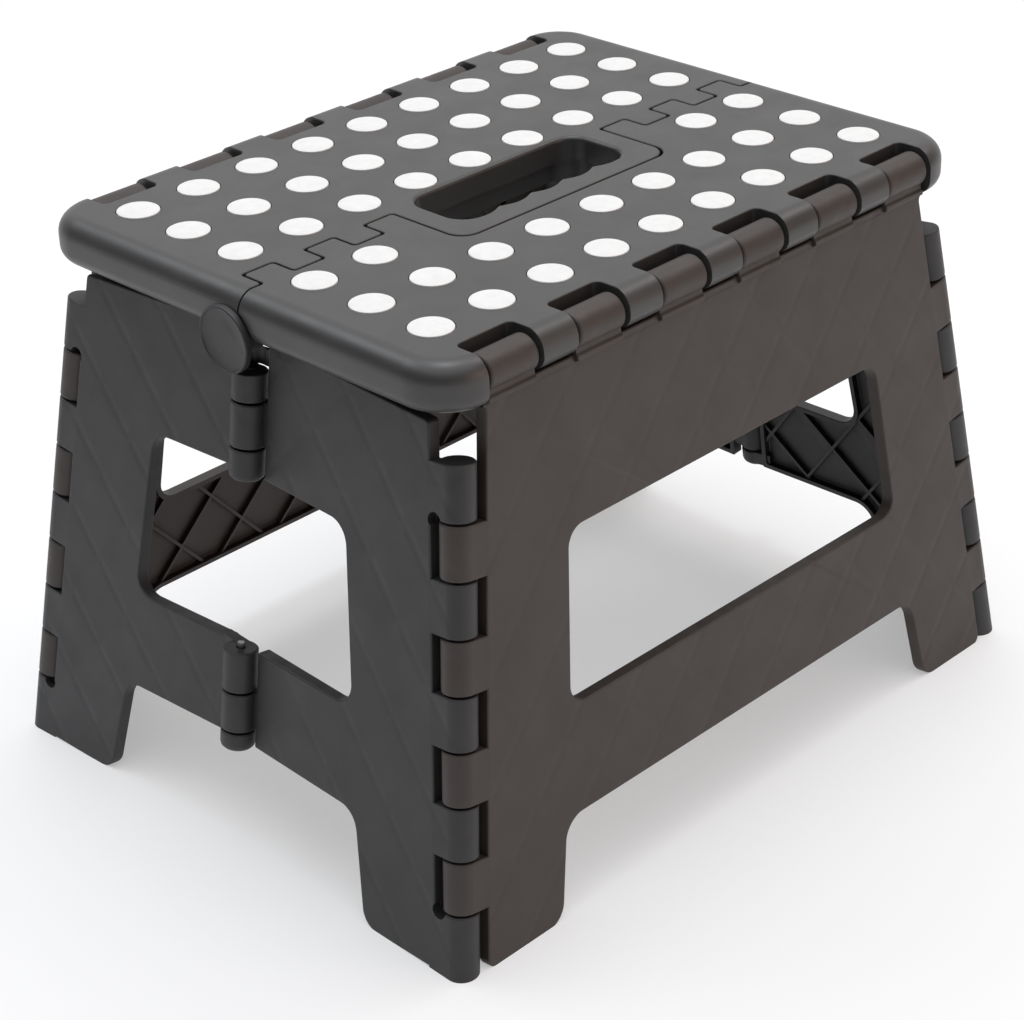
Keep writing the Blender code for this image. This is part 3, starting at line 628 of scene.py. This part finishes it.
def dot_rows(side):
    """(node, Y, columns) of each strip of dots. The tongue takes the middle of the first front row."""
    every = list(range(-DOT_COLUMNS, DOT_COLUMNS + 1))
    if side == BACK:
        names = ("inner", "middle", "outer")
        return [("grip_dots_back_" + n, ROW_BACK + i * DOT_PITCH, every) for i, n in enumerate(names)]
    beside = (("inner_left", every[:2]), ("inner_right", every[-2:]))
    rows = [("grip_dots_front_" + n, ROW_FRONT, columns) for n, columns in beside]
    for i, n in enumerate(("middle", "outer"), 1):
        rows.append(("grip_dots_front_" + n, ROW_FRONT - i * DOT_PITCH, every))
    return rows


def deck_notches(side):
    half = HINGE_WIDTH / 2 + HINGE_SIDE_GAP
    tools = []
    for x in hinge_centres():
        inner, outer = side * NOTCH_WALL, side * 1.5 * DECK_Y
        corners = [(x - half, inner, NOTCH_ROUND), (x + half, inner, NOTCH_ROUND), (x + half, outer, 0),
                   (x - half, outer, 0)]
        tools.append(flared("notch", rounded(corners, FINE_FACET), 0.9 * FOLD_Z, HEIGHT, NOTCH_SOFT))
    return tools


def fold_rod(name, near, far, radius, soft=0.0, facets=ROUND_FACETS):
    """A rod on the fold axis at each end of the deck."""
    spans = [((end * near, 0, FOLD_Z), (end * far, 0, FOLD_Z)) for end in (LEFT, RIGHT)]
    return [rod(name, *span, radius, soft, facets) for span in spans]


def bosses():
    """The round covers on the fold axis: a disc on a hub, with a raised rim round a slightly dished face."""
    made = []
    depth = BOSS_OUT - BOSS_IN
    back = depth - BOSS_DISC
    hub = [(-HUB_INSET, 0), (-HUB_INSET, back)]
    rim = [
        (-0.0006, back), (0, back + 0.0006), (0, depth - 0.0009), (-0.0002, depth - 0.0003), (-0.0006, depth),
    ]
    face = [
        (-0.0010, depth - 0.0001), (-0.0013, depth - 0.0005), (-0.0030, depth - 0.0009),
        (-0.0060, depth - 0.0010),
    ]
    for end in (LEFT, RIGHT):
        cover = loft("boss", circle(BOSS_RADIUS, BOSS_FACETS), hub + rim + face)
        turn = Vector((end, 0, 0)).to_track_quat("Z", "Y").to_matrix().to_4x4()
        cover.data.transform(Matrix.Translation((end * BOSS_IN, 0, FOLD_Z)) @ turn)
        made.append(cover)
    return made


def ear_webs():
    """The blocks that carry the ears of the front half up to its skin."""
    far = TONGUE_X + FINGERS * FINGER_WIDTH - SEAM_GAP
    spans = []
    for end in (LEFT, RIGHT):
        x = sorted((end * EAR_IN, end * far))
        spans.append(((x[0], EAR_WEB[0], FOLD_Z), (x[1], EAR_WEB[1], HEIGHT - SKIN / 2)))
    return boxes("ear webs", spans)


def deck_half(side):
    x, y, radius = DECK_X, DECK_Y, DECK_CORNER
    plan = rounded([(-x, -y, radius), (x, -y, radius), (x, y, radius), (-x, y, radius)])
    name, low = "deck_moulding_" + SIDE_NAMES[side], HEIGHT - LIP_DEPTH
    half = plate(name, plan, low, HEIGHT, LIP_LOW_ROUND, LIP_TOP_ROUND, LIP_STEPS)
    region = plate("region", deck_region(side), HIDDEN_LOW, HEIGHT + 0.00002, 0, SEAM_SOFT)
    combine(half, "INTERSECT", [region])
    cutters = [boxes("pockets", pocket_spans(side)), row_cutter(side)] + deck_notches(side)
    for _, row_y, columns in dot_rows(side):
        for column in columns:
            hole = plate("seat", circle(DOT_RADIUS + DOT_GAP), 0, 2 * FAR)
            hole.data.transform(Matrix.Translation((column * DOT_PITCH, row_y, HEIGHT - SKIN - 0.0018)))
            cutters.append(hole)
    if side == BACK:
        cutters.append(flared("slot", slot_outline(), HIDDEN_LOW, HEIGHT, SLOT_SOFT, 5))
        cutters.append(plate("relief", grown(slot_outline(), SLOT_RELIEF), HIDDEN_LOW, HEIGHT - SLOT_WALL))
        cutters += fold_rod("ears", EAR_IN - 0.0005, BOSS_IN + 0.001, EAR_RADIUS + 0.0005)
        joined = bosses()
    else:
        cutters += fold_rod("bosses", BOSS_IN - 0.0004, 2 * DECK_X, BOSS_RADIUS + 0.0007)
        joined = fold_rod("ears", EAR_IN, BOSS_IN - 0.0006, EAR_RADIUS) + [ear_webs()]
    combine(half, "DIFFERENCE", cutters)
    combine(half, "UNION", joined)
    pin_line = [(x, side * HINGE_Y, HINGE_Z) for x in (-DECK_BORE_END, DECK_BORE_END)]
    bores = [rod("side bore", *pin_line, BORE, 0, BORE_FACETS)]
    bores += fold_rod("fold bore", EAR_IN - 0.001, BOSS_OUT - 0.0035, BORE, 0, BORE_FACETS)
    combine(half, "DIFFERENCE", bores)
    settle(half, Matrix.Identity(4), "deck_" + SIDE_NAMES[side], "deck_half_" + SIDE_NAMES[side], "deck")
    # the round covers get the end panels' darker plastic: painted shade, as they face away from the light
    # like the ends
    half.data.materials.append(LOOKS["end"])
    for polygon in half.data.polygons:
        if abs(polygon.center.x) > DECK_X + 0.0003:
            polygon.material_index = 1


def grip_dots(side):
    """Low domed rubber dots, each with a soft rim, on a short stem through the skin."""
    under, top = HEIGHT - SKIN, HEIGHT + DOT_PROUD
    stem = [(-0.0004, under - 0.0012), (0, under - 0.0008), (0, top - 0.0005)]
    dome = [(-0.00015, top - 0.0002), (-0.0005, top), (-0.0030, top + 0.00008), (-0.0060, top + 0.00012)]
    for node, y, columns in dot_rows(side):
        bm = bmesh.new()
        for column in columns:
            dot = loft("dot", circle(DOT_RADIUS, DOT_FACETS), stem + dome)
            dot.data.transform(Matrix.Translation((column * DOT_PITCH, y, 0)))
            bm.from_mesh(dot.data)
            bpy.data.objects.remove(dot)
        piece = from_bmesh(node.replace("grip_dots", "rubber_dots"), bm)
        settle(piece, Matrix.Identity(4), "deck_" + SIDE_NAMES[side], node, "grip")


# ---------------------------------------------------------------- materials

class Nodes:
    """A material's node tree, with short calls for the nodes used here."""

    def __init__(self, name):
        self.material = bpy.data.materials.new(name)
        self.material.use_nodes = True
        self.tree = self.material.node_tree
        self.shader = self.tree.nodes["Principled BSDF"]
        self.coords = self.tree.nodes.new("ShaderNodeTexCoord").outputs["Object"]

    def noise(self, scale, detail=2.0, roughness=0.5):
        node = self.tree.nodes.new("ShaderNodeTexNoise")
        node.inputs["Scale"].default_value = scale
        node.inputs["Detail"].default_value = detail
        node.inputs["Roughness"].default_value = roughness
        self.tree.links.new(self.coords, node.inputs["Vector"])
        return node.outputs["Fac"]

    def ramp(self, value, stops):
        node = self.tree.nodes.new("ShaderNodeValToRGB")
        ramp = node.color_ramp
        while len(ramp.elements) < len(stops):
            ramp.elements.new(0.5)
        for element, (at, colour) in zip(ramp.elements, stops):
            element.position = at
            element.color = (*colour, 1)
        self.tree.links.new(value, node.inputs["Fac"])
        return node.outputs["Color"]

    def spread(self, value, low, high):
        node = self.tree.nodes.new("ShaderNodeMapRange")
        node.inputs["From Min"].default_value = 0.25
        node.inputs["From Max"].default_value = 0.75
        node.inputs["To Min"].default_value = low
        node.inputs["To Max"].default_value = high
        self.tree.links.new(value, node.inputs["Value"])
        return node.outputs["Result"]

    def bump(self, value, strength, distance, normal=None):
        node = self.tree.nodes.new("ShaderNodeBump")
        node.inputs["Strength"].default_value = strength
        node.inputs["Distance"].default_value = distance
        self.tree.links.new(value, node.inputs["Height"])
        if normal:
            self.tree.links.new(normal, node.inputs["Normal"])
        return node.outputs["Normal"]

    def math(self, operation, *values):
        node = self.tree.nodes.new("ShaderNodeMath")
        node.operation = operation
        for socket, value in zip(node.inputs, values):
            if isinstance(value, bpy.types.NodeSocket):
                self.tree.links.new(value, socket)
            else:
                socket.default_value = value
        return node.outputs["Value"]

    def sinks(self, axis):
        """Shallow marks on a panel's face over the ribs behind it: 0 on a mark and 1 between them."""
        split = self.tree.nodes.new("ShaderNodeSeparateXYZ")
        self.tree.links.new(self.coords, split.inputs["Vector"])
        fields = []
        for lean in (-1, 1):
            across = self.math("MULTIPLY", split.outputs[axis], lean * math.sin(LATTICE_LEAN))
            along = self.math("MULTIPLY_ADD", split.outputs["Z"], math.cos(LATTICE_LEAN), across)
            below = self.math("SUBTRACT", along, HINGE_Z * math.cos(LATTICE_LEAN))
            apart = self.math("PINGPONG", below, LATTICE_PITCH / 2)
            smooth = self.tree.nodes.new("ShaderNodeMapRange")
            smooth.interpolation_type = "SMOOTHSTEP"
            smooth.inputs["From Max"].default_value = 2.2 * LATTICE_RIB
            self.tree.links.new(apart, smooth.inputs["Value"])
            fields.append(smooth.outputs["Result"])
        return self.math("MINIMUM", *fields)

    def set(self, name, value):
        if isinstance(value, bpy.types.NodeSocket):
            self.tree.links.new(value, self.shader.inputs[name])
        else:
            self.shader.inputs[name].default_value = value


def plastic(name, colour, rough, panel_axis=None):
    """Moulded polypropylene with a fine spark-eroded grain and faint cloudy flow."""
    nodes = Nodes(name)
    cloud = nodes.noise(22, 3, 0.6)
    dark, light = [c * 0.90 for c in colour], [c * 1.12 for c in colour]
    nodes.set("Base Color", nodes.ramp(cloud, [(0.3, dark), (0.7, light)]))
    nodes.set("Roughness", nodes.spread(nodes.noise(60, 4, 0.6), rough - 0.05, rough + 0.06))
    grain = nodes.bump(nodes.noise(2400, 3, 0.6), 0.35, 0.00008)
    if panel_axis:
        grain = nodes.bump(nodes.sinks(panel_axis), 0.5, 0.00022, grain)
    nodes.set("Normal", nodes.bump(nodes.noise(90, 2, 0.5), 0.06, 0.0006, grain))
    nodes.set("Specular IOR Level", 0.6)
    return nodes.material


def rubber(name):
    """White soft-touch rubber with a dusty, slightly uneven face."""
    nodes = Nodes(name)
    tones = [(0.3, (0.70, 0.70, 0.685)), (0.7, (0.76, 0.76, 0.745))]
    nodes.set("Base Color", nodes.ramp(nodes.noise(260, 4, 0.6), tones))
    nodes.set("Roughness", nodes.spread(nodes.noise(120, 3, 0.5), 0.5, 0.62))
    nodes.set("Normal", nodes.bump(nodes.noise(1500, 3, 0.6), 0.25, 0.00006))
    return nodes.material


def steel(name):
    """Drawn steel wire with a fine, slightly uneven face."""
    nodes = Nodes(name)
    tones = [(0.3, (0.36, 0.36, 0.37)), (0.7, (0.50, 0.50, 0.51))]
    nodes.set("Base Color", nodes.ramp(nodes.noise(400, 3, 0.6), tones))
    nodes.set("Metallic", 1.0)
    nodes.set("Roughness", nodes.spread(nodes.noise(900, 4, 0.6), 0.28, 0.42))
    nodes.set("Normal", nodes.bump(nodes.noise(2000, 2, 0.5), 0.2, 0.00004))
    return nodes.material


LOOKS = {
    # deck: the stool's one moulding colour painted lighter, painted light for the top lit by the overhead
    # lamp
    "deck": plastic("plastic_deck_painted_lit", (0.035, 0.034, 0.033), 0.38),
    # sides: the same moulding colour painted warm brown, painted light for the warm lamp in front of the long
    # side
    "side": plastic("plastic_side_painted_warm_lit", (0.0300, 0.0212, 0.0172), 0.52, "X"),
    # ends: the same moulding colour painted darker, painted shade for the ends that face away from the light
    "end": plastic("plastic_end_painted_shade", (0.0165, 0.0165, 0.0175), 0.52, "Y"),
    "grip": rubber("rubber_grip"),
    "pin": steel("steel_pin"),
}


def settle(piece, place, body, node, look):
    """Shades, colours and places a finished piece, ties it to its body and hides the CAD node it stands in
    for.
    """
    piece.data.transform(place)
    piece.data.materials.clear()
    piece.data.materials.append(LOOKS[look])
    piece.data.shade_smooth()
    piece.data.set_sharp_from_angle(angle=math.radians(32))
    weighted = piece.modifiers.new("flat faces", "WEIGHTED_NORMAL")
    weighted.keep_sharp = True
    weighted.weight = 80
    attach(piece, body)
    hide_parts(node)


# ---------------------------------------------------------------- stage

def make_floor():
    """A plain pale floor with a faint glow of its own, which keeps the shadows light."""
    bm = bmesh.new()
    bmesh.ops.create_grid(bm, x_segments=8, y_segments=8, size=12)
    floor = from_bmesh("studio_floor", bm)
    if floor.data.polygons[0].normal.z < 0:
        floor.data.flip_normals()
    nodes = Nodes("studio_floor")
    tones = [(0.3, (0.57, 0.57, 0.57)), (0.7, (0.58, 0.58, 0.58))]
    nodes.set("Base Color", nodes.ramp(nodes.noise(3, 2, 0.5), tones))
    nodes.set("Roughness", 0.85)
    nodes.set("Specular IOR Level", 0.2)
    nodes.set("Emission Color", (1.0, 1.0, 1.0, 1.0))
    nodes.set("Emission Strength", 0.37)
    floor.data.materials.append(nodes.material)


def make_world():
    """A soft studio, bright overhead, dim and warm in front of the long side, darkest beyond the near end."""
    world = bpy.data.worlds.new("studio")
    world.use_nodes = True
    bpy.context.scene.world = world
    tree = world.node_tree
    background = tree.nodes["Background"]
    split = tree.nodes.new("ShaderNodeSeparateXYZ")
    tree.links.new(tree.nodes.new("ShaderNodeTexCoord").outputs["Generated"], split.inputs["Vector"])

    def blend(socket, low, high, colour_low, colour_high):
        ramp = tree.nodes.new("ShaderNodeMapRange")
        ramp.inputs["From Min"].default_value = low
        ramp.inputs["From Max"].default_value = high
        tree.links.new(split.outputs[socket], ramp.inputs["Value"])
        mix = tree.nodes.new("ShaderNodeMix")
        mix.data_type = "RGBA"
        tree.links.new(ramp.outputs["Result"], mix.inputs["Factor"])
        for name, colour in (("A", colour_low), ("B", colour_high)):
            target = next(i for i in mix.inputs if i.name == name and i.type == "RGBA")
            if isinstance(colour, bpy.types.NodeSocket):
                tree.links.new(colour, target)
            else:
                target.default_value = (*colour, 1)
        return next(o for o in mix.outputs if o.type == "RGBA")

    sides = blend("Y", -0.6, 0.5, (0.30, 0.22, 0.18), (0.95, 0.95, 0.95))
    ends = blend("X", -0.6, 0.3, (0.10, 0.10, 0.11), sides)
    tree.links.new(blend("Z", 0.62, 0.86, ends, (1.45, 1.47, 1.52)), background.inputs["Color"])
    background.inputs["Strength"].default_value = 1.0


def area_light(name, location, target, size, power, colour=(1, 1, 1)):
    data = bpy.data.lights.new(name, "AREA")
    data.shape = "RECTANGLE"
    data.size, data.size_y = size
    data.energy = power
    data.color = colour
    lamp = bpy.data.objects.new(name, data)
    bpy.context.scene.collection.objects.link(lamp)
    lamp.location = location
    lamp.rotation_mode = "QUATERNION"
    lamp.rotation_quaternion = (Vector(target) - Vector(location)).to_track_quat("-Z", "Y")


def make_camera():
    data = bpy.data.cameras.new("camera")
    data.sensor_width = 36
    data.lens = CAMERA_LENS
    camera = bpy.data.objects.new("camera", data)
    bpy.context.scene.collection.objects.link(camera)
    location, target = Vector(CAMERA_LOCATION), Vector(CAMERA_TARGET)
    turn = (target - location).to_track_quat("-Z", "Y")
    roll = Matrix.Rotation(CAMERA_ROLL, 4, "Z")
    camera.matrix_world = Matrix.Translation(location) @ turn.to_matrix().to_4x4() @ roll
    bpy.context.scene.camera = camera


bpy.context.scene.view_settings.view_transform = "Standard"
for side in (FRONT, BACK):
    deck_half(side)
    side_panel(side)
    grip_dots(side)
    for end in (LEFT, RIGHT):
        end_panel(end, side)
for name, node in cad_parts.items():
    if "_pin" in name:
        node.data.materials.clear()
        node.data.materials.append(LOOKS["pin"])
make_floor()
make_world()
make_camera()
area_light("overhead", (0.07, 0.10, 1.6), (-0.1, -0.1, 0.2), (0.4, 0.4), 4.0, (0.92, 0.96, 1.0))
area_light("rear_left", (-0.44, 0.93, 1.35), (-0.1, 0, 0.2), (0.9, 0.4), 3.5, (0.90, 0.95, 1.0))
area_light("rear_right", (0.93, -0.25, 1.38), (0, -0.1, 0.2), (0.4, 0.9), 3.0, (1.0, 0.93, 0.88))
area_light("warm_right", (0.6, -1.8, 0.7), (0, 0, 0.1), (1.2, 1.0), 5.0, (1.0, 0.74, 0.62))
